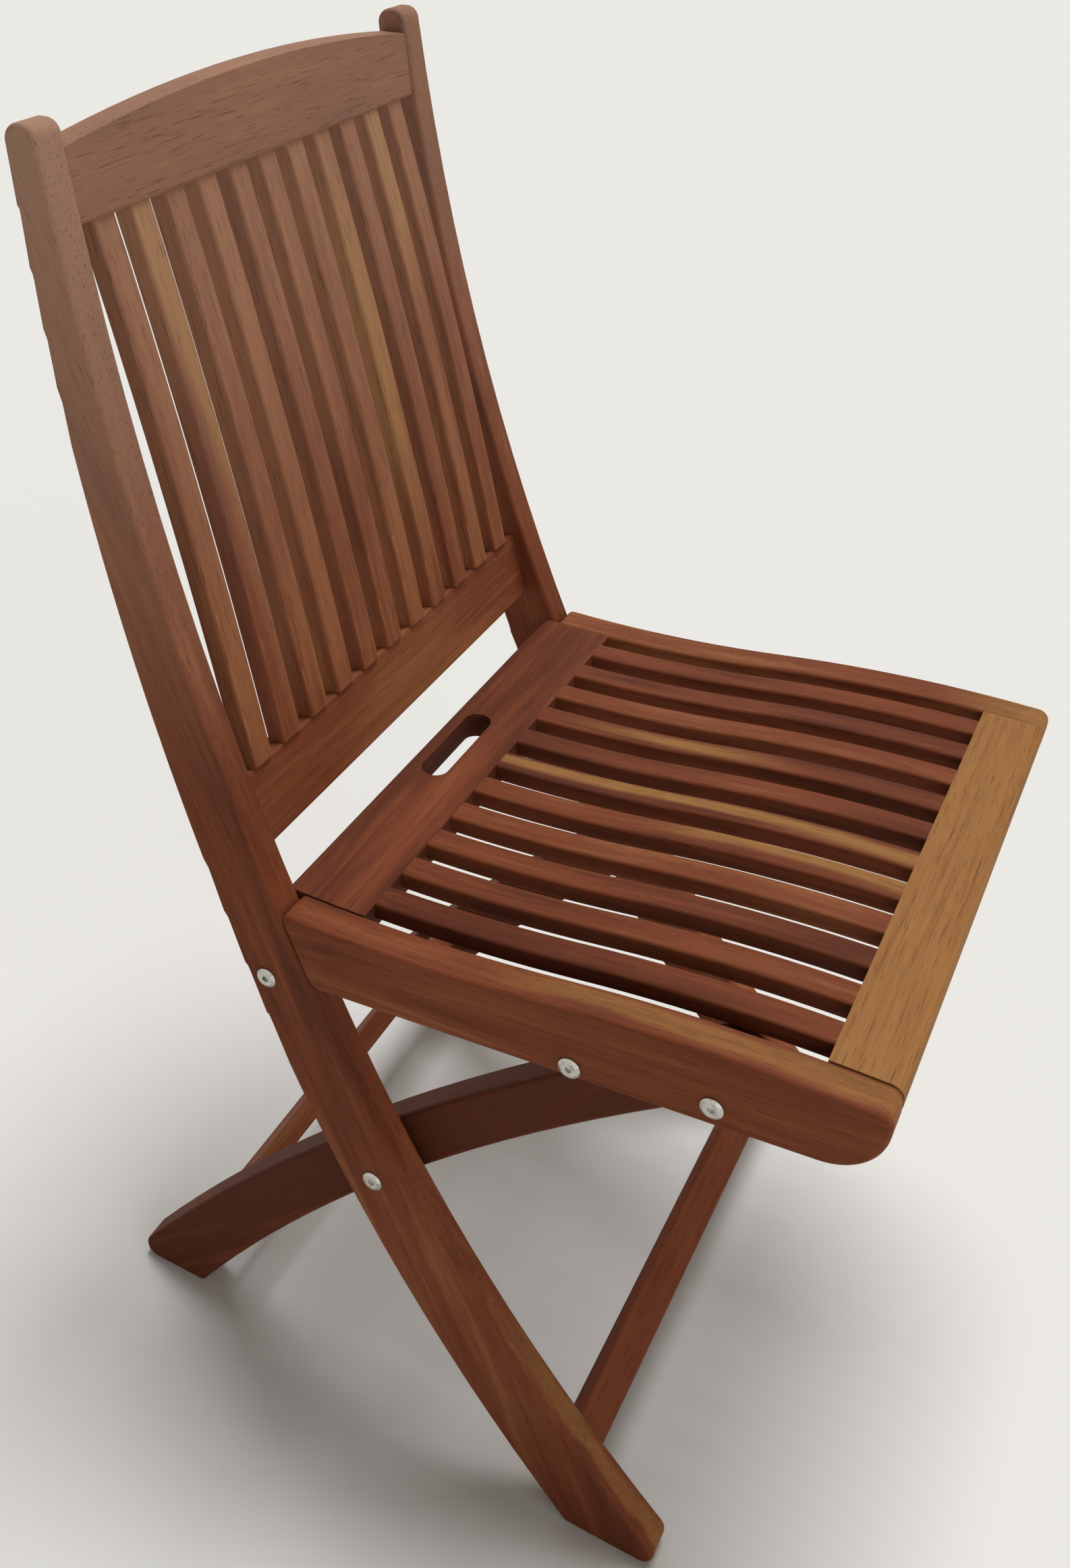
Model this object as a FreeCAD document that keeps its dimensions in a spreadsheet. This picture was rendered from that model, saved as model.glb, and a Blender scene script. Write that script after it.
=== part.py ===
"""Folding slatted side chair: a curved back frame, a rear leg frame and a seat on a four-bar fold.

The chair faces -Y and stands on Z = 0. Its left side, as a sitter has it, is +X.
Side-view shapes are drawn in the YZ plane and padded across the chair.
"""
import FreeCAD, Part
import math
import os
import re
import Sketcher

# Driving dimensions in millimetres and degrees.
SIZES = {
    # Whole chair.
    "chair_width": 450,
    "edge_round": 3,
    "foot_round": 10,
    "heel_round": 4,
    # Where the seat's top meets the stiles' front edges: the other side-view places are told from here.
    "seat_joint_y": 103.3,
    "seat_joint_z": 422,
    # Stiles: one board from the front foot to the finial, bowed, and more so below the bend.
    "stile_thick": 25,
    "stile_height": 902,
    "stile_depth": 45,
    "stile_lean": 24.9,
    "stile_taper": 1.65,
    "stile_front_radius": 2033,
    "stile_rear_radius": 1855,
    "stile_bend_drop": 122,
    "low_front_radius": 1100,
    "low_rear_radius": 1159,
    "finial_round": 10,
    # Back panel: slats, bowed forward, between a lower rail and an arched crest rail.
    "panel_back": 24.1,
    "panel_rise": 19.6,
    "back_lean": 17,
    "crest_lean": 10,
    "lower_rail_height": 53.5,
    "crest_drop": 3.7,
    "crest_height": 61,
    "crest_rise": 13,
    "back_rail_thick": 18,
    "lower_rail_recess": 2.2,
    "crest_proud": 2,
    "back_slat_thick": 14.5,
    "back_slat_bow": 3.4,
    "slat_width": 20.5,
    "slat_round": 2.5,
    # Stretchers between the front feet and between the rear feet.
    "stretcher_height": 28,
    "front_stretcher_thick": 12,
    "front_stretcher_z": 65,
    "front_stretcher_setback": 10,
    "rear_stretcher_thick": 16,
    "rear_stretcher_z": 66,
    "rear_stretcher_setback": 23.5,
    # Fold pivots in the side view: the link's front one rises from the seat rail's lower edge.
    "back_pivot_forward": 72.8,
    "back_pivot_drop": 191,
    "seat_pivot_forward": 287.1,
    "seat_pivot_drop": 13.3,
    "link_rear_back": 7.9,
    "link_rear_drop": 55.6,
    "link_front_forward": 202.2,
    "link_front_rise": 23.9,
    # Rear legs, one layer further in than the stiles.
    "leg_thick": 24,
    "leg_end_radius": 17.6,
    "leg_lean": 34.5,
    "leg_front_radius": 1481,
    "leg_rear_radius": 1773,
    # Seat: side rails flush with the stiles, cross rails and slats between them.
    "seat_rail_thick": 25.5,
    "seat_rail_depth": 50.6,
    "seat_length": 381.8,
    "seat_tilt": 5.143,
    "seat_curve_radius": 1100,
    "seat_mid_forward": 185.8,
    "seat_mid_rise": 13.5,
    "seat_mid_slope": 9,
    "seat_front_round": 38,
    "seat_nose_round": 8,
    "seat_rear_round": 12.2,
    "seat_top_round": 5,
    "joint_gap": 0.5,
    "seat_slat_thick": 13,
    "rear_rail_width": 49.3,
    "rear_rail_thick": 20,
    "rear_rail_overhang": 8,
    "front_rail_width": 42,
    "front_rail_thick": 15,
    "hand_hold_length": 88,
    "hand_hold_width": 20,
    "hand_hold_wall": 10,
    # Steel links and pivot hardware.
    "link_thick": 4,
    "link_width": 9.6,
    "side_gap": 0.5,
    "spacer_radius": 8,
    "spacer_gap": 0.3,
    "bolt_radius": 3,
    "bolt_clearance": 0.05,
    "bolt_head_radius": 7,
    "bolt_head_rim": 1.2,
    "bolt_head_dome": 1.2,
    "bolt_crown_radius": 5,
    "socket_radius": 2.3,
    "socket_depth": 1.6,
    "nut_radius": 6,
    "nut_thick": 4,
}
SLAT_COUNT = 11
# Marks an edge of an outline as a half circle that turns left.
HALF_ROUND = "half"
# How near two measured lengths are to count as the same.
SAME = 0.001
# The most of a stile's top that one of its two rounds may take.
FINIAL_SHARE = 0.45

doc = FreeCAD.newDocument("FoldingChair")
sheet = doc.addObject("Spreadsheet::Sheet", "Sizes")
for row, (alias, size) in enumerate(SIZES.items(), start=1):
    sheet.set(f"A{row}", alias)
    sheet.set(f"B{row}", str(size))
    sheet.setAlias(f"B{row}", alias)
doc.recompute()


def bound(formula):
    """The formula as an expression for other objects, with each size read from the sheet."""
    return re.sub(r"[a-z]\w*", lambda word: f"Sizes.{word[0]}" if word[0] in SIZES else word[0], formula)


def value(formula):
    """The formula's present value."""
    return float(sheet.evalExpression(formula))


class Bow:
    """A circular edge in the side view, given by formulas for its centre and radius."""

    def __init__(self, y, z, lean, radius):
        """The edge passes through (y, z), leans to the rear by lean there, and curves about its front."""
        self.y = f"({y} - ({radius}) * cos({lean}))"
        self.z = f"({z} + ({radius}) * sin({lean}))"
        self.radius = f"({radius})"

    def y_at(self, z):
        """Where the edge is at a height."""
        return f"({self.y} + sqrt({self.radius}^2 - (({z}) - {self.z})^2))"

    def lean_at(self, z):
        """How far the edge leans to the rear at a height."""
        return f"asin(({self.z} - ({z})) / {self.radius})"

    def bent(self, z, radius):
        """The tangent edge of another radius that goes on from a height."""
        return Bow(self.y_at(z), z, self.lean_at(z), radius)

    def behind(self, z, setback):
        """The point a setback behind the edge, square to it from the given height."""
        lean = self.lean_at(z)
        reach = f"({self.radius} + ({setback}))"
        return f"({self.y} + {reach} * cos({lean}))", f"({self.z} - {reach} * sin({lean}))"


def tilted_box(y, z, lean, height, depth):
    """Corners of a rectangle centred on (y, z) that leans to the rear."""
    corners = []
    for up, back in ((-1, -1), (-1, 1), (1, 1), (1, -1)):
        corner_y = f"{y} + {up} * ({height}) / 2 * sin({lean}) + {back} * ({depth}) / 2 * cos({lean})"
        corner_z = f"{z} + {up} * ({height}) / 2 * cos({lean}) - {back} * ({depth}) / 2 * sin({lean})"
        corners.append((corner_y, corner_z))
    return corners


def draw_edge(sketch, start, end, radius):
    """Adds a line, or an arc whose radius is positive where it turns left, and returns its ends."""
    first = FreeCAD.Vector(value(start[0]), value(start[1]), 0)
    last = FreeCAD.Vector(value(end[0]), value(end[1]), 0)
    if radius is None:
        edge = sketch.addGeometry(Part.LineSegment(first, last))
        return edge, 1, 2
    chord = last - first
    size = chord.Length / 2 if radius == HALF_ROUND else value(radius)
    square = FreeCAD.Vector(-chord.y, chord.x, 0).normalize()
    rise = math.sqrt(max(size**2 - (chord.Length / 2) ** 2, 0))
    centre = (first + last) * 0.5 + square * math.copysign(rise, size)
    tail, head = (first, last) if size > 0 else (last, first)
    angles = [math.atan2(point.y - centre.y, point.x - centre.x) for point in (tail, head)]
    circle = Part.Circle(centre, FreeCAD.Vector(0, 0, 1), abs(size))
    edge = sketch.addGeometry(Part.ArcOfCircle(circle, *angles))
    return (edge, 1, 2) if size > 0 else (edge, 2, 1)


def bind(sketch, constraint, formula):
    """Adds a constraint whose size follows a formula."""
    index = sketch.addConstraint(constraint)
    sketch.setExpression(f"Constraints[{index}]", bound(formula))


def place_point(sketch, edge, point, place):
    """Holds a point of an edge at a place in the sketch."""
    for kind, formula in zip(("DistanceX", "DistanceY"), place):
        bind(sketch, Sketcher.Constraint(kind, -1, 1, edge, point, value(formula)), formula)


def hold_between(sketch, edge, start, end):
    """Holds a half circle's centre midway between its ends."""
    middle = [f"(({low}) + ({high})) / 2" for low, high in zip(start[:2], end[:2])]
    rise, run = [abs(value(high) - value(low)) for low, high in zip(start[:2], end[:2])][::-1]
    kind, formula = ("DistanceX", middle[0]) if rise > run else ("DistanceY", middle[1])
    bind(sketch, Sketcher.Constraint(kind, -1, 1, edge, 3, value(formula)), formula)


def new_sketch(body, role, offset):
    """An empty sketch on one of the body's own planes, moved along the plane's normal."""
    sketch = body.newObject("Sketcher::SketchObject", f"{body.Label}_sketch")
    plane = next(item for item in body.Origin.OriginFeatures if item.Role == role)
    sketch.AttachmentSupport = [(plane, "")]
    sketch.MapMode = "FlatFace"
    sketch.setExpression("AttachmentOffset.Base.z", bound(offset))
    return sketch


def draw_outline(sketch, outline):
    """Draws a closed outline of (x, y) or (x, y, radius of the edge that leaves this corner)."""
    edges = []
    for corner, following in zip(outline, outline[1:] + outline[:1]):
        radius = corner[2] if len(corner) > 2 else None
        edges.append(draw_edge(sketch, corner[:2], following[:2], radius))
    for (edge, start, _), corner, previous in zip(edges, outline, edges[-1:] + edges[:-1]):
        sketch.addConstraint(Sketcher.Constraint("Coincident", previous[0], previous[2], edge, start))
        place_point(sketch, edge, start, corner[:2])
    for (edge, _, _), corner, following in zip(edges, outline, outline[1:] + outline[:1]):
        if corner[2:] == (HALF_ROUND,):
            hold_between(sketch, edge, corner, following)
        elif corner[2:]:
            size = f"abs({corner[2]})"
            bind(sketch, Sketcher.Constraint("Radius", edge, value(size)), size)


def draw_bore(sketch, place, radius):
    """Draws a round hole."""
    centre = FreeCAD.Vector(value(place[0]), value(place[1]), 0)
    edge = sketch.addGeometry(Part.Circle(centre, FreeCAD.Vector(0, 0, 1), value(radius)))
    place_point(sketch, edge, 3, place)
    bind(sketch, Sketcher.Constraint("Radius", edge, value(radius)), radius)


def round_edges(body, edges, radius):
    """Rounds the named edges of the body's tip."""
    base = body.Tip
    fillet = body.newObject("PartDesign::Fillet", f"{body.Label}_fillet")
    fillet.Base = (base, edges)
    fillet.setExpression("Radius", bound(radius))
    doc.recompute()


def cross_edges(body):
    """Names and side-view places of the body's straight edges that run across the chair."""
    found = []
    for number, edge in enumerate(body.Shape.Edges, start=1):
        run = edge.Vertexes[-1].Point - edge.Vertexes[0].Point
        if edge.Length - abs(run.x) < SAME:
            found.append((f"Edge{number}", edge.CenterOfMass))
    return found


def side_edges(body, shortest="0"):
    """Names of the edges round both side faces, bores left out, that are long enough."""
    faces = body.Shape.BoundBox
    names = []
    for number, edge in enumerate(body.Shape.Edges, start=1):
        if edge.isClosed():
            continue
        box = edge.BoundBox
        on_side = min(abs(box.XMin - faces.XMin), abs(box.XMax - faces.XMax)) < SAME
        if on_side and box.XLength < SAME and edge.Length > value(shortest):
            names.append(f"Edge{number}")
    return names


def board(label, outline, start, thick, bores=()):
    """A body padded across the chair from a side-view outline, with round holes through it."""
    body = doc.addObject("PartDesign::Body", label)
    body.Label = label
    sketch = new_sketch(body, "YZ_Plane", start)
    draw_outline(sketch, outline)
    for place, radius in bores:
        draw_bore(sketch, place, radius)
    pad = body.newObject("PartDesign::Pad", f"{label}_pad")
    pad.Profile = sketch
    pad.setExpression("Length", bound(thick))
    doc.recompute()
    return body


def round_corner(body, place, radius):
    """Rounds the edge across the chair that is nearest to a place in the side view."""
    target = FreeCAD.Vector(0, value(place[0]), value(place[1]))
    distance = {name: math.hypot(spot.y - target.y, spot.z - target.z) for name, spot in cross_edges(body)}
    round_edges(body, [min(distance, key=distance.get)], radius)


def round_rail(body, radius):
    """Rounds every edge of a rail that runs across the chair."""
    round_edges(body, [name for name, _ in cross_edges(body)], radius)


# Layers across the chair, measured out from its middle.
INNER_HALF = "(chair_width / 2 - stile_thick)"
RAIL_INNER = "(chair_width / 2 - seat_rail_thick)"
LINK_OUTER = f"({RAIL_INNER} - side_gap)"
LINK_INNER = f"({LINK_OUTER} - link_thick)"
LEG_OUTER = f"({LINK_INNER} - side_gap)"
LEG_INNER = f"({LEG_OUTER} - leg_thick)"


def from_joint(back, up):
    """A side-view place told from where the seat meets the stiles."""
    return f"(seat_joint_y + {back})", f"(seat_joint_z + {up})"


BACK_PIVOT = from_joint("-back_pivot_forward", "-back_pivot_drop")
SEAT_PIVOT = from_joint("-seat_pivot_forward", "-seat_pivot_drop")
LINK_REAR = from_joint("link_rear_back", "-link_rear_drop")
LINK_FRONT = from_joint("-link_front_forward", "(link_front_rise - seat_rail_depth)")
BORE = "(bolt_radius + bolt_clearance)"


def mirrored(item, label):
    """The right-hand twin of a left-hand piece."""
    twin = doc.addObject("Part::Mirroring", label)
    twin.Label = label
    twin.Source = item
    twin.Normal = (1, 0, 0)
    return twin


# Stile edges: the seat rests against the front one.
stile_front = Bow("seat_joint_y", "seat_joint_z", "stile_lean", "stile_front_radius")
stile_rear = Bow(
    "(seat_joint_y + stile_depth * cos(stile_lean))",
    "(seat_joint_z - stile_depth * sin(stile_lean))",
    "(stile_lean - stile_taper)",
    "stile_rear_radius",
)
STILE_BEND = "(seat_joint_z - stile_bend_drop)"
low_front = stile_front.bent(STILE_BEND, "low_front_radius")
low_rear = stile_rear.bent(STILE_BEND, "low_rear_radius")


def make_stiles():
    """Two bowed boards, each from its front foot to its rounded finial."""
    top_front = stile_front.y_at("stile_height")
    top_rear = stile_rear.y_at("stile_height")
    outline = [
        (low_front.y_at("0"), "0"),
        (low_rear.y_at("0"), "0", low_rear.radius),
        (stile_rear.y_at(STILE_BEND), STILE_BEND, stile_rear.radius),
        (top_rear, "stile_height"),
        (top_front, "stile_height", f"-{stile_front.radius}"),
        (stile_front.y_at(STILE_BEND), STILE_BEND, f"-{low_front.radius}"),
    ]
    bores = [(BACK_PIVOT, BORE), (LINK_REAR, BORE)]
    stile = board("left_stile", outline, INNER_HALF, "stile_thick", bores)
    finial = f"min(finial_round; {FINIAL_SHARE} * ({top_rear} - {top_front}))"
    for corner, radius in ((0, "foot_round"), (1, "heel_round"), (3, finial), (4, finial)):
        round_corner(stile, outline[corner], radius)
    round_edges(stile, side_edges(stile), "edge_round")
    return [stile, mirrored(stile, "right_stile")]


PANEL_FOOT = from_joint("panel_back", "panel_rise")


def panel_point(up, back):
    """A point of the back panel: up the slats from its foot, back from the ends of their front faces."""
    y = f"({PANEL_FOOT[0]} + ({up}) * sin(back_lean) + ({back}) * cos(back_lean))"
    z = f"({PANEL_FOOT[1]} + ({up}) * cos(back_lean) - ({back}) * sin(back_lean))"
    return y, z


def panel_box(low, high, front, thick):
    """Corners of a board in the back panel."""
    rear = f"({front}) + ({thick})"
    return [panel_point(*place) for place in ((low, front), (low, rear), (high, rear), (high, front))]


SLAT_FOOT = "lower_rail_height"
CREST_TOP = "(stile_height - crest_drop)"
PANEL_RISE = f"({CREST_TOP} - {PANEL_FOOT[1]} - crest_proud * sin(back_lean))"
SLAT_HEAD = f"({PANEL_RISE} / cos(back_lean) - crest_height)"
SLOT = f"((2 * {INNER_HALF} - {SLAT_COUNT} * slat_width) / {SLAT_COUNT + 1})"


def slat_start(number):
    """Where a slat's pad starts, counted from the right side."""
    return f"-{INNER_HALF} + {number} * {SLOT} + {number - 1} * slat_width"


def make_lower_rail():
    """The rail that carries the feet of the back slats."""
    outline = panel_box("0", SLAT_FOOT, "lower_rail_recess", "back_rail_thick")
    body = board("lower_back_rail", outline, f"-{INNER_HALF}", f"2 * {INNER_HALF}")
    round_rail(body, "slat_round")
    return body


def make_crest():
    """The top rail, with its top edge arched across the chair."""
    bottom_front = panel_point(SLAT_HEAD, "-crest_proud")
    bottom_rear = panel_point(SLAT_HEAD, "back_rail_thick - crest_proud")

    def leaning(corner):
        return f"{corner[0]} + ({CREST_TOP} - {corner[1]}) * tan(crest_lean)", CREST_TOP

    outline = [bottom_front, bottom_rear, leaning(bottom_rear), leaning(bottom_front)]
    body = board("crest_rail", outline, f"-{INNER_HALF}", f"2 * {INNER_HALF}")
    full = body.Shape.Volume
    arch = new_sketch(body, "XZ_Plane", f"-({leaning(bottom_rear)[0]} + back_rail_thick)")
    radius = f"({INNER_HALF}^2 + crest_rise^2) / (2 * crest_rise)"
    shoulder = f"{CREST_TOP} - crest_rise"
    above = f"{CREST_TOP} + crest_height"
    draw_outline(
        arch,
        [
            (INNER_HALF, shoulder, radius),
            (f"-{INNER_HALF}", shoulder),
            (f"-{INNER_HALF}", above),
            (INNER_HALF, above),
        ],
    )
    pocket = body.newObject("PartDesign::Pocket", "crest_arch")
    pocket.Profile = arch
    pocket.Reversed = True
    pocket.Type = "ThroughAll"
    doc.recompute()
    if not 0.8 * full < body.Shape.Volume < full:
        raise RuntimeError("the crest's arch was not cut")
    long_edges = [
        f"Edge{number}"
        for number, edge in enumerate(body.Shape.Edges, start=1)
        if edge.BoundBox.XLength > value(INNER_HALF)
    ]
    round_edges(body, long_edges, "edge_round")
    return body


def make_back_slats():
    """Slats between the lower rail and the crest, bowed forward."""
    slats = []
    foot_front, foot_rear, head_rear, head_front = panel_box(SLAT_FOOT, SLAT_HEAD, "0", "back_slat_thick")
    half_length = f"(({SLAT_HEAD} - {SLAT_FOOT}) / 2)"
    radius = f"(({half_length}^2 + back_slat_bow^2) / (2 * back_slat_bow))"
    outline = [foot_front, (*foot_rear, f"-{radius}"), head_rear, (*head_front, radius)]
    for number in range(1, SLAT_COUNT + 1):
        slat = board(f"back_slat_{number:02d}", outline, slat_start(number), "slat_width")
        round_edges(slat, side_edges(slat, "slat_width"), "slat_round")
        slats.append(slat)
    return slats


def make_front_stretcher():
    """The bar between the front feet, set back from the stiles' front edges."""
    setback = "front_stretcher_setback + front_stretcher_thick / 2"
    y, z = low_front.behind("front_stretcher_z", setback)
    lean = low_front.lean_at("front_stretcher_z")
    outline = tilted_box(y, z, lean, "stretcher_height", "front_stretcher_thick")
    body = board("front_stretcher", outline, f"-{INNER_HALF}", f"2 * {INNER_HALF}")
    round_rail(body, "edge_round")
    return body


# Rear leg edges run from the round end at the seat pivot down to the rear foot.
LEG_NORMAL = "(90 - leg_lean)"
leg_end_low = (
    f"({SEAT_PIVOT[0]} - leg_end_radius * sin(leg_lean))",
    f"({SEAT_PIVOT[1]} - leg_end_radius * cos(leg_lean))",
)
leg_end_high = (
    f"({SEAT_PIVOT[0]} + leg_end_radius * sin(leg_lean))",
    f"({SEAT_PIVOT[1]} + leg_end_radius * cos(leg_lean))",
)
leg_front = Bow(*leg_end_low, f"-{LEG_NORMAL}", "leg_front_radius")
leg_rear = Bow(*leg_end_high, f"-{LEG_NORMAL}", "leg_rear_radius")


def make_rear_legs():
    """Two bowed boards, each from its rear foot up to its round end under the seat's front."""
    outline = [
        (leg_front.y_at("0"), "0"),
        (leg_rear.y_at("0"), "0", leg_rear.radius),
        (*leg_end_high, HALF_ROUND),
        (*leg_end_low, f"-{leg_front.radius}"),
    ]
    bores = [(BACK_PIVOT, BORE), (SEAT_PIVOT, BORE)]
    leg = board("rear_leg_left", outline, LEG_INNER, "leg_thick", bores)
    round_corner(leg, outline[0], "heel_round")
    round_corner(leg, outline[1], "foot_round")
    round_edges(leg, side_edges(leg), "edge_round")
    return [leg, mirrored(leg, "rear_leg_right")]


def make_rear_stretcher():
    """The bar between the rear feet."""
    setback = "rear_stretcher_setback + rear_stretcher_thick / 2"
    y, z = leg_front.behind("rear_stretcher_z", setback)
    lean = leg_front.lean_at("rear_stretcher_z")
    outline = tilted_box(y, z, lean, "stretcher_height", "rear_stretcher_thick")
    body = board("rear_stretcher", outline, f"-{LEG_INNER}", f"2 * {LEG_INNER}")
    round_rail(body, "edge_round")
    return body


# The seat's top: a dip behind and a hump in front of the middle, two tangent arcs of one radius.
MID_Y, MID_Z = from_joint("-seat_mid_forward", "seat_mid_rise")
DIP_Y = f"({MID_Y} + seat_curve_radius * sin(seat_mid_slope))"
DIP_Z = f"({MID_Z} + seat_curve_radius * cos(seat_mid_slope))"
HUMP_Y = f"({MID_Y} - seat_curve_radius * sin(seat_mid_slope))"
HUMP_Z = f"({MID_Z} - seat_curve_radius * cos(seat_mid_slope))"


def dip_z(y, sink="0"):
    """The height of the rear half of the seat's top, or of a face sunk square to it."""
    return f"({DIP_Z} - sqrt((seat_curve_radius + {sink})^2 - ({y} - {DIP_Y})^2))"


def hump_z(y, sink="0"):
    """The height of the front half of the seat's top, or of a face sunk square to it."""
    return f"({HUMP_Z} + sqrt((seat_curve_radius - {sink})^2 - ({y} - {HUMP_Y})^2))"


def seat_mid(sink="0"):
    """The point between dip and hump, on the top or on a face sunk square to it."""
    y = f"({MID_Y} - {sink} * sin(seat_mid_slope))"
    z = f"({MID_Z} - {sink} * cos(seat_mid_slope))"
    return y, z


SEAT_FRONT = "(seat_joint_y - seat_length)"
SLAT_FRONT = f"({SEAT_FRONT} + front_rail_width)"
SLAT_REAR = "(seat_joint_y - rear_rail_width)"
JOINT_Y = "(seat_joint_y - joint_gap)"
JOINT_LOW_Z = f"({dip_z(JOINT_Y)} - seat_rail_depth)"
JOINT_LOW_Y = f"({stile_front.y_at(JOINT_LOW_Z)} - joint_gap)"


def make_seat_rails():
    """The seat's side rails: their rear ends rest against the stiles' front edges."""
    front_low = f"({JOINT_LOW_Z} + ({JOINT_LOW_Y} - {SEAT_FRONT}) * tan(seat_tilt))"
    front_high = hump_z(SEAT_FRONT)
    outline = [
        (JOINT_LOW_Y, JOINT_LOW_Z),
        (JOINT_Y, dip_z(JOINT_Y), "-seat_curve_radius"),
        (*seat_mid(), "seat_curve_radius"),
        (SEAT_FRONT, front_high),
        (SEAT_FRONT, front_low),
    ]
    bores = [(SEAT_PIVOT, BORE), (LINK_FRONT, BORE)]
    rail = board("seat_rail_left", outline, RAIL_INNER, "seat_rail_thick", bores)
    nose_reach = "seat_nose_round * tan(45 + seat_mid_slope / 2)"
    front_room = f"({front_high} - {front_low} - {nose_reach}) / tan(45 - seat_tilt / 2)"
    front_round = f"min(seat_front_round; {front_room})"
    rounds = ((0, "seat_rear_round"), (1, "seat_top_round"), (3, "seat_nose_round"), (4, front_round))
    for corner, radius in rounds:
        round_corner(rail, outline[corner], radius)
    round_edges(rail, side_edges(rail), "edge_round")
    return [rail, mirrored(rail, "seat_rail_right")]


def make_seat_rear_rail():
    """The seat's rear cross rail, with a hand-hold slot to lift and fold it by."""
    rear = f"({JOINT_Y} + rear_rail_overhang)"
    outline = [
        (SLAT_REAR, dip_z(SLAT_REAR, "rear_rail_thick")),
        (rear, dip_z(rear, "rear_rail_thick")),
        (rear, dip_z(rear), "-seat_curve_radius"),
        (SLAT_REAR, dip_z(SLAT_REAR)),
    ]
    body = board("seat_rear_rail", outline, f"-{RAIL_INNER}", f"2 * {RAIL_INNER}")
    round_corner(body, outline[2], "edge_round")
    full = body.Shape.Volume
    slot = new_sketch(body, "XY_Plane", "seat_joint_z + rear_rail_thick")
    half = "((hand_hold_length - hand_hold_width) / 2)"
    slot_rear = f"({rear} - hand_hold_wall)"
    slot_front = f"({slot_rear} - hand_hold_width)"
    draw_outline(
        slot,
        [
            (f"-{half}", slot_front),
            (half, slot_front, HALF_ROUND),
            (half, slot_rear),
            (f"-{half}", slot_rear, HALF_ROUND),
        ],
    )
    pocket = body.newObject("PartDesign::Pocket", "hand_hold")
    pocket.Profile = slot
    pocket.Type = "ThroughAll"
    doc.recompute()
    if full - body.Shape.Volume < value("hand_hold_length * hand_hold_width * rear_rail_thick") * 0.8:
        raise RuntimeError("the hand-hold was not cut")
    return body


def make_seat_front_rail():
    """The seat's front cross rail."""
    outline = [
        (SEAT_FRONT, hump_z(SEAT_FRONT, "front_rail_thick")),
        (SLAT_FRONT, hump_z(SLAT_FRONT, "front_rail_thick")),
        (SLAT_FRONT, hump_z(SLAT_FRONT), "seat_curve_radius"),
        (SEAT_FRONT, hump_z(SEAT_FRONT)),
    ]
    body = board("seat_front_rail", outline, f"-{RAIL_INNER}", f"2 * {RAIL_INNER}")
    round_corner(body, outline[3], "seat_nose_round")
    round_corner(body, outline[0], "edge_round")
    return body


def make_seat_slats():
    """Slats along the seat's curve, from the rear rail to the front rail."""
    sink = "seat_slat_thick"
    outline = [
        (SLAT_REAR, dip_z(SLAT_REAR, sink)),
        (SLAT_REAR, dip_z(SLAT_REAR), "-seat_curve_radius"),
        (*seat_mid(), "seat_curve_radius"),
        (SLAT_FRONT, hump_z(SLAT_FRONT)),
        (SLAT_FRONT, hump_z(SLAT_FRONT, sink), f"-(seat_curve_radius - {sink})"),
        (*seat_mid(sink), f"(seat_curve_radius + {sink})"),
    ]
    slats = []
    for number in range(1, SLAT_COUNT + 1):
        slat = board(f"seat_slat_{number:02d}", outline, slat_start(number), "slat_width")
        round_edges(slat, side_edges(slat, "slat_width"), "slat_round")
        slats.append(slat)
    return slats


def make_links():
    """Flat steel bars with round ends, each from a stile to a seat rail."""
    run_y = f"({LINK_FRONT[0]} - {LINK_REAR[0]})"
    run_z = f"({LINK_FRONT[1]} - {LINK_REAR[1]})"
    length = f"sqrt({run_y}^2 + {run_z}^2)"
    square = (f"(link_width / 2 * {run_z} / {length})", f"(-link_width / 2 * {run_y} / {length})")
    outline = [
        (f"{LINK_REAR[0]} + {square[0]}", f"{LINK_REAR[1]} + {square[1]}"),
        (f"{LINK_FRONT[0]} + {square[0]}", f"{LINK_FRONT[1]} + {square[1]}", HALF_ROUND),
        (f"{LINK_FRONT[0]} - {square[0]}", f"{LINK_FRONT[1]} - {square[1]}"),
        (f"{LINK_REAR[0]} - {square[0]}", f"{LINK_REAR[1]} - {square[1]}", HALF_ROUND),
    ]
    bores = [(LINK_REAR, BORE), (LINK_FRONT, BORE)]
    link = board("link_left", outline, LINK_INNER, "link_thick", bores)
    return [link, mirrored(link, "link_right")]


def turned(label, kind, pivot, start, length, **radii):
    """A Part primitive on the left side whose axis runs out from the chair's middle at a pivot."""
    item = doc.addObject(f"Part::{kind}", label)
    item.Placement = FreeCAD.Placement(FreeCAD.Vector(), FreeCAD.Rotation(FreeCAD.Vector(0, 1, 0), 90))
    item.setExpression("Placement.Base.x", bound(start))
    item.setExpression("Placement.Base.y", bound(pivot[0]))
    item.setExpression("Placement.Base.z", bound(pivot[1]))
    item.setExpression("Height", bound(length))
    for name, formula in radii.items():
        item.setExpression(name, bound(formula))
    return item


def pair(label, item):
    """One node of a left-hand piece and its right-hand twin."""
    group = doc.addObject("Part::Compound", label)
    group.Label = label
    group.Links = [item, mirrored(item, f"{item.Label}_twin")]
    return group


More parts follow.
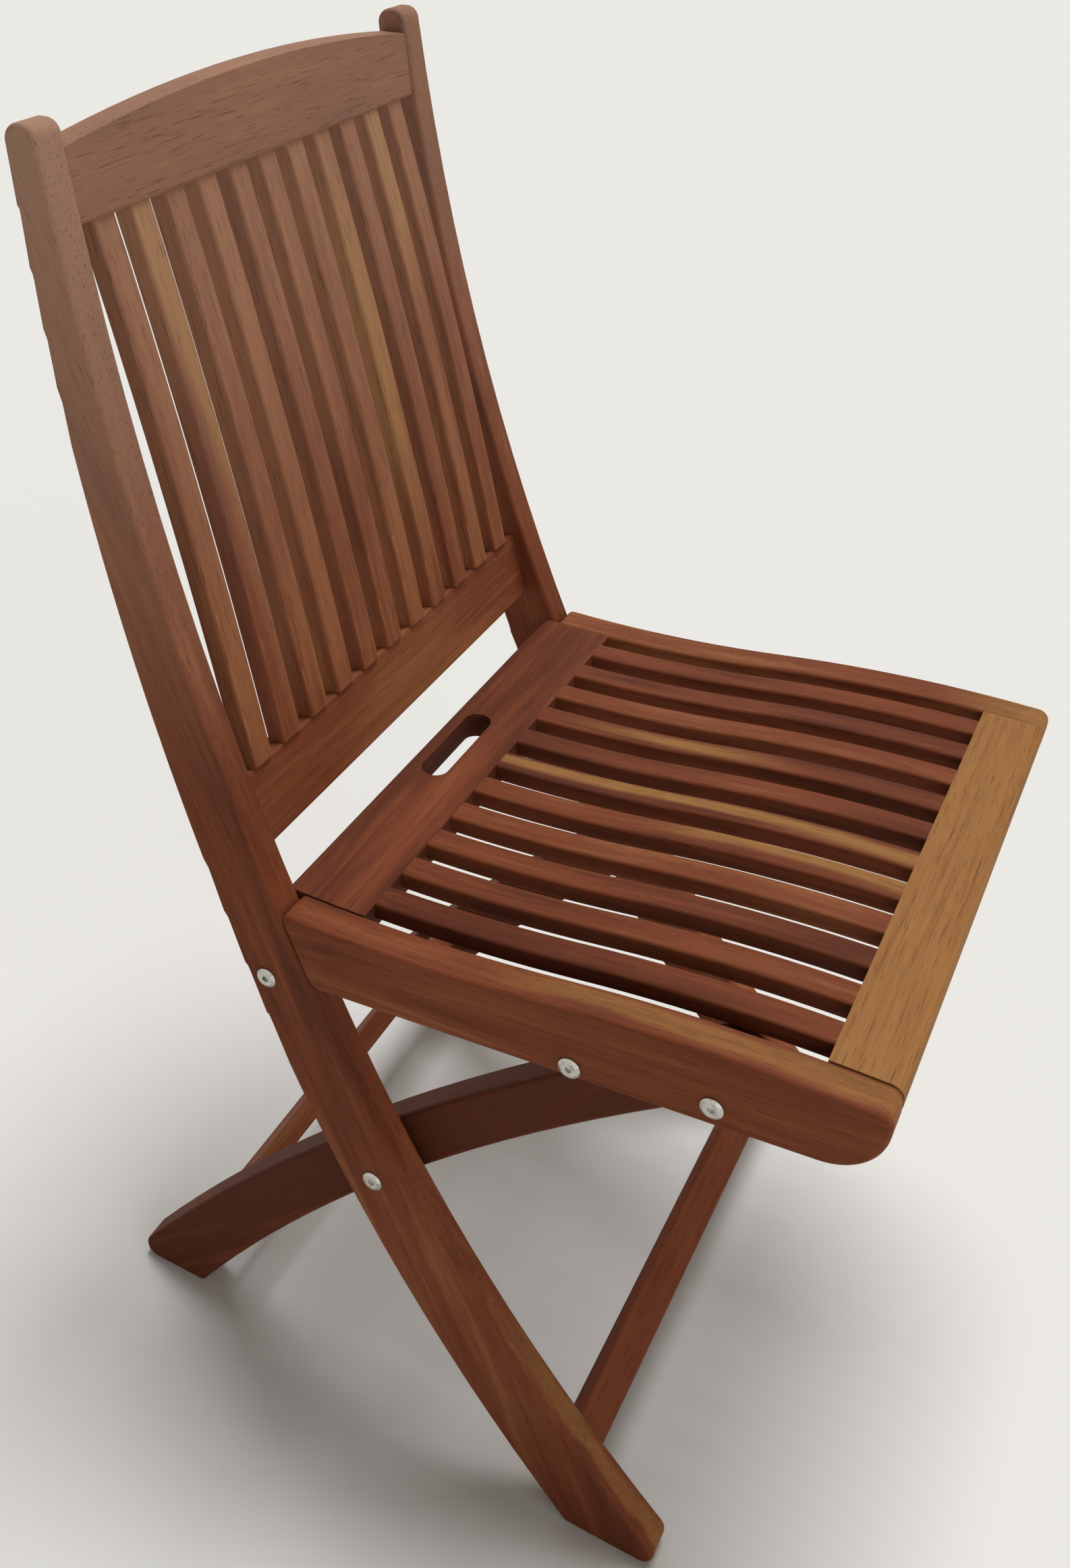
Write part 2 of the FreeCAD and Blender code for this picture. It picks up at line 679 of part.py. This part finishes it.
def make_bolt(name, pivot, tip):
    """A flat-headed bolt on the outer face, with a hexagon socket, whose shank runs in to its tip."""
    face = "chair_width / 2"
    dome = f"{face} + bolt_head_rim"
    crown = f"{dome} + bolt_head_dome"
    shank = turned(f"{name}_shank", "Cylinder", pivot, tip, f"{face} - ({tip})", Radius="bolt_radius")
    rim = turned(f"{name}_rim", "Cylinder", pivot, face, "bolt_head_rim", Radius="bolt_head_radius")
    cap = turned(
        f"{name}_cap",
        "Cone",
        pivot,
        dome,
        "bolt_head_dome",
        Radius1="bolt_head_radius",
        Radius2="bolt_crown_radius",
    )
    solid = doc.addObject("Part::MultiFuse", f"{name}_solid")
    solid.Shapes = [shank, rim, cap]
    socket_floor = f"{crown} - socket_depth"
    socket = turned(
        f"{name}_socket",
        "Prism",
        pivot,
        socket_floor,
        "2 * socket_depth",
        Circumradius="socket_radius",
    )
    bolt = doc.addObject("Part::Cut", name)
    bolt.Base = solid
    bolt.Tool = socket
    return bolt


def make_ring(name, pivot, start, thick, radius):
    """A round nut or spacer with the bolts' bore."""
    disc = turned(f"{name}_disc", "Cylinder", pivot, start, thick, Radius=radius)
    bore = turned(f"{name}_bore", "Cylinder", pivot, start, thick, Radius=BORE)
    ring = doc.addObject("Part::Cut", name)
    ring.Base = disc
    ring.Tool = bore
    return ring


def make_pivot_hardware():
    """Bolts, nuts and spacers of the pivots on both sides."""
    nut_face = f"({LEG_INNER} - spacer_gap - nut_thick)"
    spacer_face = f"({LEG_OUTER} + spacer_gap)"
    nodes = []
    for place, pivot, seat_face in (("back", BACK_PIVOT, INNER_HALF), ("seat", SEAT_PIVOT, RAIL_INNER)):
        bolt = make_bolt(f"{place}_pivot_bolt", pivot, nut_face)
        nut = make_ring(f"{place}_pivot_nut", pivot, nut_face, "nut_thick", "nut_radius")
        spacer_thick = f"{seat_face} - {spacer_face}"
        spacer = make_ring(f"{place}_pivot_spacer", pivot, spacer_face, spacer_thick, "spacer_radius")
        nodes.append(pair(f"{place}_pivot_bolts", bolt))
        nodes.append(pair(f"{place}_pivot_nuts", nut))
        nodes.append(pair(f"{place}_pivot_spacers", spacer))
    nodes.append(pair("link_rear_bolts", make_bolt("link_rear_bolt", LINK_REAR, LINK_INNER)))
    nodes.append(pair("link_front_bolts", make_bolt("link_front_bolt", LINK_FRONT, RAIL_INNER)))
    return nodes


def make_chair():
    """Every node of the chair."""
    nodes = [*make_stiles(), make_crest(), make_lower_rail(), *make_back_slats(), make_front_stretcher()]
    nodes += [*make_rear_legs(), make_rear_stretcher()]
    nodes += [*make_seat_rails(), make_seat_rear_rail(), make_seat_front_rail(), *make_seat_slats()]
    nodes += [*make_links(), *make_pivot_hardware()]
    doc.recompute()
    return nodes


def check(nodes):
    """Stops where an object failed or a node's shape is missing or broken."""
    for item in doc.Objects:
        if {"Invalid", "Error"} & set(item.State):
            raise RuntimeError(f"{item.Label} failed")
    for node in nodes:
        if node.Shape.isNull() or not node.Shape.isValid() or not node.Shape.Solids:
            raise RuntimeError(f"{node.Label} has no valid shape")


chair = make_chair()
check(chair)
os.makedirs("parts", exist_ok=True)
for node in chair:
    node.Shape.exportStep(f"parts/{node.Label}.step")
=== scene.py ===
import math
import random

import bpy
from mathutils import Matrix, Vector


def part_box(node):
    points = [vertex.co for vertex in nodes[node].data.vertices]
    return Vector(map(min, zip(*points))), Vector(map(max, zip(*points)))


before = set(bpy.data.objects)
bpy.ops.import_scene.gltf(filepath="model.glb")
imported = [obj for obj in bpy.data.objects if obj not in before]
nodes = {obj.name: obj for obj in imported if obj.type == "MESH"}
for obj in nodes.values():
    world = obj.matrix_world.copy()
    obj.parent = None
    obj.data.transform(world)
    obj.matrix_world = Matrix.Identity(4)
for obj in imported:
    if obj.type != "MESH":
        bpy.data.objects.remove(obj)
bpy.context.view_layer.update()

# The photograph's frame and the camera fitted to it.
IMAGE_PX = (1586, 2324)
FOCAL_PX = 2497
AXIS_PX = (514, 701)
CAMERA_PLACE = (-0.9309, -0.3579, 1.1257)
CAMERA_TURN_DEG = (64.768, -0.372, -59.544)

# The studio: linear colours, the surround's light on the chair, and the lamps that stand far off.
PALE_FLOOR = (0.786, 0.78, 0.751, 1)
PALE_BACKDROP = (0.831, 0.815, 0.776, 1)
WARM_SURROUND = (0.93, 0.82, 0.7, 1)
AMBIENT = 0.11
BACKDROP_STRENGTH = 1.0
FLOOR_SIZE = 40
LAMPS = {
    "key": {"towards": (0.34, -0.04, 1.25), "spread_deg": 28, "strength": 2.75},
    "front_fill": {"towards": (-0.6, -1, 0.2), "spread_deg": 60, "strength": 1.15},
    "rear_fill": {"towards": (0.8, 0.6, 0.2), "spread_deg": 60, "strength": 0.45},
}

# Tones as screen colours out of 255.
DARK_WOOD = (84, 41, 24)
RED_WOOD = (117, 61, 36)
TAN_WOOD = (143, 89, 56)
PORE_WOOD = (62, 31, 19)
SAP_WOOD = (158, 113, 64)
# The pale tone of a painted glare on the upper parts.
PAINTED_GLARE_WOOD = (176, 142, 120)
STEEL = (192, 190, 183)
TARNISH = (150, 147, 140)

# Directions of the grain in the side view, in degrees up from the floor towards the back.
STILE_GRAIN_DEG = 64
LEG_GRAIN_DEG = 136
BACK_SLAT_GRAIN_DEG = 73
SEAT_GRAIN_DEG = -4.5
ACROSS = None

GRAIN = {
    "left_stile": STILE_GRAIN_DEG,
    "right_stile": STILE_GRAIN_DEG,
    "crest_rail": ACROSS,
    "lower_back_rail": ACROSS,
    "front_stretcher": ACROSS,
    "rear_leg_left": LEG_GRAIN_DEG,
    "rear_leg_right": LEG_GRAIN_DEG,
    "rear_stretcher": ACROSS,
    "seat_rail_left": SEAT_GRAIN_DEG,
    "seat_rail_right": SEAT_GRAIN_DEG,
    "seat_rear_rail": ACROSS,
    "seat_front_rail": ACROSS,
}
for node in sorted(nodes):
    if node.startswith("back_slat"):
        GRAIN[node] = BACK_SLAT_GRAIN_DEG
    elif node.startswith("seat_slat"):
        GRAIN[node] = SEAT_GRAIN_DEG

# Layers of the wood's figure: scale across the grain, stretch along it, and the noise's other settings.
LAYERS = {
    "drift": {"scale": 9, "along": 0.5, "detail": 1.0},
    "broad": {"scale": 45, "along": 0.1, "detail": 2.0, "roughness": 0.5, "distortion": 0.5},
    "figure": {"scale": 160, "along": 0.05, "detail": 4.0, "roughness": 0.6, "distortion": 0.6},
    "streak": {"scale": 520, "along": 0.02, "detail": 2.0, "roughness": 0.6},
    "pores": {"scale": 1300, "along": 0.03, "detail": 1.0, "roughness": 0.5},
}
# How far a piece's place in the noise may move by chance, so that no figure repeats.
LAYER_SHIFT = 5

# The layers that make up a piece's shade, and the shades between which its tones change.
SHADE_SHARES = {"drift": 0.3, "broad": 0.4, "figure": 0.3}
DARK_TO_RED = (0.32, 0.50)
RED_TO_TAN = (0.48, 0.68)

# Where streaks and pores show in their layers, and how strongly.
STREAK_RANGE = (0.48, 0.75)
STREAK_SHARE = 0.3
PORE_RANGE = (0.6, 0.72)
PORE_SHARE = 0.5

# How much paler or darker a piece's shade is than the rest, and how much any piece may differ by chance.
TONE = {
    "crest_rail": -0.04,
    # The lower back rail's paler tone is painted light that brightens the back.
    "lower_back_rail": 0.06,
    "back_slat_01": 0.02,
    "back_slat_04": 0.1,
    "back_slat_07": 0.08,
    "back_slat_10": 0.06,
    "rear_leg_left": -0.18,
    "rear_leg_right": -0.18,
    "seat_rear_rail": -0.12,
    "seat_slat_03": -0.04,
    "seat_slat_04": 0.05,
}
CHANCE_TONE = 0.03
# Paler back slats, a painted light that brightens the back, and darker seat slats, added to their own tones.
SLAT_TONE_AND_BACK_LIGHT = {"back": 0.07, "seat": -0.06}

# Where golden sapwood shows: ranges in metres along the frame's axes, open at an end that is FAR.
FAR = 1
SAP = {
    "back_slat_02": {"x": (-0.148, FAR), "z": (0.68, FAR)},
    "back_slat_03": {"x": (-0.1, FAR), "z": (-FAR, 0.53)},
    "back_slat_08": {"x": (-FAR, 0.078), "z": (0.60, 0.80)},
    "back_slat_10": {"x": (0.134, FAR), "z": (0.74, FAR)},
    "seat_slat_05": {"x": (-0.037, FAR), "y": (-FAR, -0.09)},
    "seat_slat_06": {"x": (-0.005, 0.006)},
    "seat_slat_08": {"x": (0.0645, 0.075), "y": (-0.1, -0.01)},
    "seat_front_rail": {"y": (-FAR, FAR)},
    "seat_rail_left": {"y": (-FAR, -0.245)},
    "seat_rail_right": {"x": (-0.219, -0.204), "y": (-FAR, -0.06)},
    "right_stile": {"x": (-0.217, -0.204), "z": (-FAR, 0.13)},
}
# How softly the sapwood's edges fade and how far they wander, in metres.
SAP_FADE = {"x": 0.003, "y": 0.05, "z": 0.05}
SAP_WANDER = {"x": 0.02, "y": 0.08, "z": 0.08}
# How strong the sapwood's colour is, from the least to the most, and pieces where it is only a tint.
SAP_STRENGTH = (0.45, 1.15)
SAP_TINT = {"seat_rail_right": 0.65, "right_stile": 0.6}

# Heights in metres between which a painted glare pales the wood, and how strongly at the top.
PAINTED_GLARE_HEIGHTS = (0.45, 0.95)
PAINTED_GLARE_SHARE = 0.45
# Pieces with a stronger painted glare than the rest.
MORE_PAINTED_GLARE = {"right_stile": 0.7}

# Gloss and relief: roughness from the least to the most, and bump heights in metres.
WOOD_ROUGHNESS = (0.6, 0.8)
WOOD_SPECULAR = 0.12
WOOD_BUMP = 0.0004
STREAK_RELIEF = 0.5
PORE_RELIEF = -1.0
STEEL_ROUGHNESS = (0.28, 0.45)
STEEL_BUMP = 0.0001
BUMP_STRENGTH = 0.3

# Marks and stains on the steel.
RING_MARKS = {"Scale": 900, "Distortion": 0.5}
ROLLED_MARKS = {"scale": 1500, "detail": 2.0}
ROLLED_STRETCH = (1, 0.05, 1)
STAIN = {"scale": 260, "detail": 3.0}
STAIN_RANGE = (0.45, 0.75)

# Places of the colour sockets in a Mix node, whose names others share.
MIX_SHARE = 0
MIX_FIRST = 6
MIX_SECOND = 7
MIX_RESULT = 2

NOISE_MIDDLE = 0.5


def screen_colour(colour):
    """A screen colour out of 255 as the linear colour that shaders use."""
    def linear(share):
        return share / 12.92 if share <= 0.04045 else ((share + 0.055) / 1.055) ** 2.4
    return (*[linear(channel / 255) for channel in colour], 1)


class Tree:
    """The node tree of a material or the world, with short calls to add and join nodes."""

    def __init__(self, owner):
        owner.use_nodes = True
        self.nodes = owner.node_tree.nodes
        self.links = owner.node_tree.links

    def add(self, kind, inputs=None, **settings):
        """A node whose inputs are constants or other nodes' sockets."""
        node = self.nodes.new(f"ShaderNode{kind}")
        for name, setting in settings.items():
            setattr(node, name, setting)
        self.feed(node, inputs or {})
        return node

    def feed(self, node, inputs):
        """Sets or links a node's inputs."""
        for name, source in inputs.items():
            if isinstance(source, bpy.types.NodeSocket):
                self.links.new(source, node.inputs[name])
            else:
                node.inputs[name].default_value = source

    def object_place(self):
        """Each point's place in the frame."""
        return self.add("TexCoord").outputs["Object"]

    def axes(self, vector):
        """A vector's parts by axis."""
        return self.add("SeparateXYZ", {"Vector": vector}).outputs

    def math(self, operation, first, second):
        """A math node's result."""
        return self.add("Math", {0: first, 1: second}, operation=operation).outputs[0]

    def blend(self, *parts):
        """The sum of sources, each times its share."""
        total = None
        for source, share in parts:
            part = self.math("MULTIPLY", source, share)
            total = part if total is None else self.math("ADD", total, part)
        return total

    def place(self, vector, **settings):
        """A vector moved, turned and scaled."""
        return self.add("Mapping", {"Vector": vector, **settings}).outputs["Vector"]

    def noise(self, vector, scale, detail, roughness=0.55, distortion=0.0):
        """A noise value about NOISE_MIDDLE."""
        inputs = {
            "Vector": vector,
            "Scale": scale,
            "Detail": detail,
            "Roughness": roughness,
            "Distortion": distortion,
        }
        return self.add("TexNoise", inputs).outputs["Fac"]

    def fibre(self, vector, along, **settings):
        """A noise drawn out along the grain, which is the vector's Z."""
        return self.noise(self.place(vector, Scale=(1, 1, along)), **settings)

    def step(self, source, low, high):
        """A smooth rise from 0 at low to 1 at high."""
        inputs = {"Value": source, "From Min": low, "From Max": high}
        return self.add("MapRange", inputs, interpolation_type="SMOOTHSTEP").outputs["Result"]

    def span(self, source, low, high):
        """A source from 0 to 1 as a value from low to high."""
        return self.add("MapRange", {"Value": source, "To Min": low, "To Max": high}).outputs["Result"]

    def mix(self, share, first, second):
        """A mix of two colours."""
        inputs = {MIX_SHARE: share, MIX_FIRST: first, MIX_SECOND: second}
        return self.add("Mix", inputs, data_type="RGBA").outputs[MIX_RESULT]

    def bump(self, height, distance):
        """A normal bent by a height."""
        inputs = {"Height": height, "Strength": BUMP_STRENGTH, "Distance": distance}
        return self.add("Bump", inputs).outputs["Normal"]

    def shade(self, inputs):
        """Sets or links a material's shader inputs."""
        self.feed(self.nodes["Principled BSDF"], inputs)


def sap_share(tree, source, wander, ranges):
    """How far each point lies in the sapwood, with edges that wander along the grain."""
    axes = tree.axes(source)
    sway = tree.math("SUBTRACT", wander, NOISE_MIDDLE)
    share = None
    for axis, (low, high) in ranges.items():
        fade = SAP_FADE[axis]
        place = tree.math("ADD", axes[axis.upper()], tree.math("MULTIPLY", sway, SAP_WANDER[axis]))
        rise = tree.step(place, low - fade, low + fade)
        fall = tree.step(place, high + fade, high - fade)
        inside = tree.math("MULTIPLY", rise, fall)
        share = inside if share is None else tree.math("MULTIPLY", share, inside)
    return share


def grain_turn(grain_deg):
    """The turn that lays a piece's grain along Z."""
    if grain_deg is ACROSS:
        return (0, math.radians(-90), 0)
    return (math.radians(90 - grain_deg), 0, 0)


def make_wood(node, seed):
    """Oiled hardwood: broad figure, fine streaks, dark pores, golden sapwood and a painted glare that pales
    the top.
    """
    material = bpy.data.materials.new(f"wood_{node}")
    tree = Tree(material)
    draw = random.Random(seed)
    source = tree.object_place()
    apart = [draw.uniform(-LAYER_SHIFT, LAYER_SHIFT) for _ in range(3)]
    along_grain = tree.place(source, Rotation=grain_turn(GRAIN[node]), Location=apart)
    layers = {name: tree.fibre(along_grain, **settings) for name, settings in LAYERS.items()}

    tone = TONE.get(node, 0.0) + SLAT_TONE_AND_BACK_LIGHT.get(node.split("_slat_")[0], 0.0)
    shade = tree.blend(*[(layers[name], share) for name, share in SHADE_SHARES.items()])
    shade = tree.math("ADD", shade, tone + draw.uniform(-CHANCE_TONE, CHANCE_TONE))
    wood = tree.mix(tree.step(shade, *DARK_TO_RED), screen_colour(DARK_WOOD), screen_colour(RED_WOOD))
    wood = tree.mix(tree.step(shade, *RED_TO_TAN), wood, screen_colour(TAN_WOOD))
    if node in SAP:
        strengths = [strength * SAP_TINT.get(node, 1.0) for strength in SAP_STRENGTH]
        strength = tree.span(layers["figure"], *strengths)
        sap = tree.math("MULTIPLY", sap_share(tree, source, layers["broad"], SAP[node]), strength)
        wood = tree.mix(sap, wood, screen_colour(SAP_WOOD))
    streaks = tree.math("MULTIPLY", tree.step(layers["streak"], *STREAK_RANGE), STREAK_SHARE)
    wood = tree.mix(streaks, wood, screen_colour(DARK_WOOD))
    # Painted highlight: the wood is blended towards a pale tone higher up, standing in for glare on the
    # upper parts.
    height_up = tree.axes(source)["Z"]
    painted_glare = tree.math("MULTIPLY", tree.step(height_up, *PAINTED_GLARE_HEIGHTS), MORE_PAINTED_GLARE.get(node, PAINTED_GLARE_SHARE))
    wood = tree.mix(painted_glare, wood, screen_colour(PAINTED_GLARE_WOOD))
    pores = tree.math("MULTIPLY", tree.step(layers["pores"], *PORE_RANGE), PORE_SHARE)
    wood = tree.mix(pores, wood, screen_colour(PORE_WOOD))

    relief = tree.blend((layers["streak"], STREAK_RELIEF), (pores, PORE_RELIEF))
    tree.shade({
        "Base Color": wood,
        "Roughness": tree.span(layers["streak"], *WOOD_ROUGHNESS),
        "Specular IOR Level": WOOD_SPECULAR,
        "Normal": tree.bump(relief, WOOD_BUMP),
    })
    return material


def turned_marks(tree, source, node):
    """Rings round the axis of a turned fastener."""
    low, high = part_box(node)
    centre = [(a + b) / 2 for a, b in zip(low, high)]
    about_axis = tree.place(source, Location=(0, -centre[1], -centre[2]))
    inputs = {"Vector": about_axis, **RING_MARKS}
    return tree.add("TexWave", inputs, wave_type="RINGS", rings_direction="X").outputs["Fac"]


def rolled_marks(tree, source):
    """Long marks along a flat bar."""
    return tree.noise(tree.place(source, Scale=ROLLED_STRETCH), **ROLLED_MARKS)


def make_steel(node):
    """Plated steel whose fine marks follow the way it was worked."""
    material = bpy.data.materials.new(f"steel_{node}")
    tree = Tree(material)
    source = tree.object_place()
    if node in ("link_left", "link_right"):
        marks = rolled_marks(tree, source)
    else:
        marks = turned_marks(tree, source, node)
    stain = tree.noise(source, **STAIN)
    tree.shade({
        "Base Color": tree.mix(tree.step(stain, *STAIN_RANGE), screen_colour(STEEL), screen_colour(TARNISH)),
        "Roughness": tree.span(marks, *STEEL_ROUGHNESS),
        "Metallic": 1.0,
        "Normal": tree.bump(marks, STEEL_BUMP),
    })
    return material


def dress(node, material):
    """Gives a CAD node its material."""
    mesh = nodes[node].data
    mesh.materials.clear()
    mesh.materials.append(material)
    for face in mesh.polygons:
        face.material_index = 0


def add_object(name, data):
    """A new object in the scene."""
    item = bpy.data.objects.new(name, data)
    bpy.context.scene.collection.objects.link(item)
    return item


def make_camera():
    """The camera at the photograph's place."""
    data = bpy.data.cameras.new("camera")
    camera = add_object("camera", data)
    camera.location = CAMERA_PLACE
    camera.rotation_euler = [math.radians(turn) for turn in CAMERA_TURN_DEG]
    long_side = max(IMAGE_PX)
    data.lens = FOCAL_PX / long_side * data.sensor_width
    data.shift_x = (IMAGE_PX[0] / 2 - AXIS_PX[0]) / long_side
    data.shift_y = (AXIS_PX[1] - IMAGE_PX[1] / 2) / long_side
    bpy.context.scene.camera = camera


def make_lamp(name, towards, spread_deg, strength):
    """A broad even light that comes from a direction."""
    data = bpy.data.lights.new(name, "SUN")
    data.angle = math.radians(spread_deg)
    data.energy = strength
    lamp = add_object(name, data)
    lamp.rotation_euler = Vector(towards).to_track_quat("Z", "Y").to_euler()


def make_world():
    """An even, warm surround, seen as pale as the lit floor."""
    world = bpy.data.worlds.new("studio")
    bpy.context.scene.world = world
    tree = Tree(world)
    rays = tree.add("LightPath").outputs
    seen = rays["Is Camera Ray"]
    for kind in ("Is Glossy Ray", "Is Transmission Ray"):
        seen = tree.math("MAXIMUM", seen, rays[kind])
    inputs = {
        "Color": tree.mix(seen, WARM_SURROUND, PALE_BACKDROP),
        "Strength": tree.span(seen, AMBIENT, BACKDROP_STRENGTH),
    }
    tree.feed(tree.nodes["Background"], inputs)


def make_floor():
    """A plain pale floor with no gloss."""
    bpy.ops.mesh.primitive_plane_add(size=FLOOR_SIZE, location=(0, 0, 0))
    floor = bpy.context.object
    floor.name = "floor"
    material = bpy.data.materials.new("floor_pale")
    Tree(material).shade({"Base Color": PALE_FLOOR, "Roughness": 1.0, "Specular IOR Level": 0.0})
    floor.data.materials.append(material)


for number, node in enumerate(sorted(nodes)):
    dress(node, make_wood(node, number) if node in GRAIN else make_steel(node))
make_camera()
make_world()
make_floor()
for name, settings in LAMPS.items():
    make_lamp(name, **settings)
bpy.context.scene.view_settings.view_transform = "Standard"
